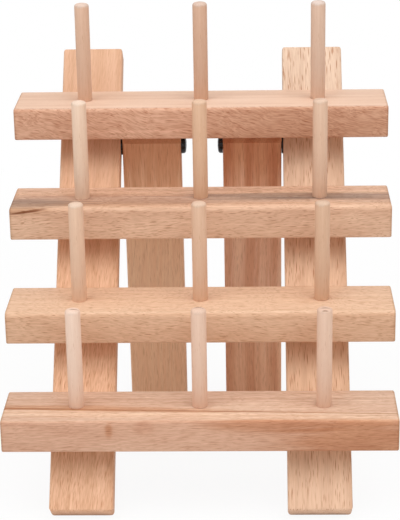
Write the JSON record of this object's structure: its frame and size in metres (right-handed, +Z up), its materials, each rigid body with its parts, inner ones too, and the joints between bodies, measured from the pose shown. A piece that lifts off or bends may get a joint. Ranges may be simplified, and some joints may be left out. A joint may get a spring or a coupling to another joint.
{
  "type": "thread spool rack",
  "caption": "Folding wooden rack with stepped crossbars on leaning uprights, round pegs that hold thread spools, and hinged rear legs.",
  "frame": {"origin": "on the floor, under the middle of the rack's box", "axes": "+X to the right as seen from the front, +Y to the back, +Z up along the pegs"},
  "size_m": [0.2, 0.1756, 0.2399],
  "materials": {
    "beech_uprights": "sanded, unvarnished",
    "beech_crossbars": "sanded, unvarnished",
    "beech_legs": "sanded, unvarnished",
    "beech_pegs": "turned smooth, unvarnished",
    "black_steel": "black oxide, half gloss",
    "plated_steel": "zinc plated"
  },
  "bodies": {
    "frame": {"upright_left": "beech_uprights", "upright_right": "beech_uprights", "crossbar_1": "beech_crossbars", "crossbar_2": "beech_crossbars", "crossbar_3": "beech_crossbars", "crossbar_4": "beech_crossbars", "peg_1_left": "beech_pegs", "peg_1_middle": "beech_pegs", "peg_1_right": "beech_pegs", "peg_2_left": "beech_pegs", "peg_2_middle": "beech_pegs", "peg_2_right": "beech_pegs", "peg_3_left": "beech_pegs", "peg_3_middle": "beech_pegs", "peg_3_right": "beech_pegs", "peg_4_left": "beech_pegs", "peg_4_middle": "beech_pegs", "peg_4_right": "beech_pegs", "pivot_screw_left": "black_steel", "pivot_screw_right": "black_steel", "pivot_washer_left": "black_steel", "pivot_washer_right": "black_steel", "crossbar_screws": "plated_steel"},
    "left_leg": {"leg_left": "beech_legs"},
    "right_leg": {"leg_right": "beech_legs"}
  },
  "joints": [
    {"name": "left_leg_fold", "type": "hinge", "parent": "frame", "child": "left_leg", "pos_m": [-0.02745, 0.04834, 0.16], "axis": [1, 0, 0], "range_deg": [-45, 0]},
    {"name": "right_leg_fold", "type": "hinge", "parent": "frame", "child": "right_leg", "pos_m": [0.02745, 0.04834, 0.16], "axis": [1, 0, 0], "range_deg": [-45, 0]}
  ]
}
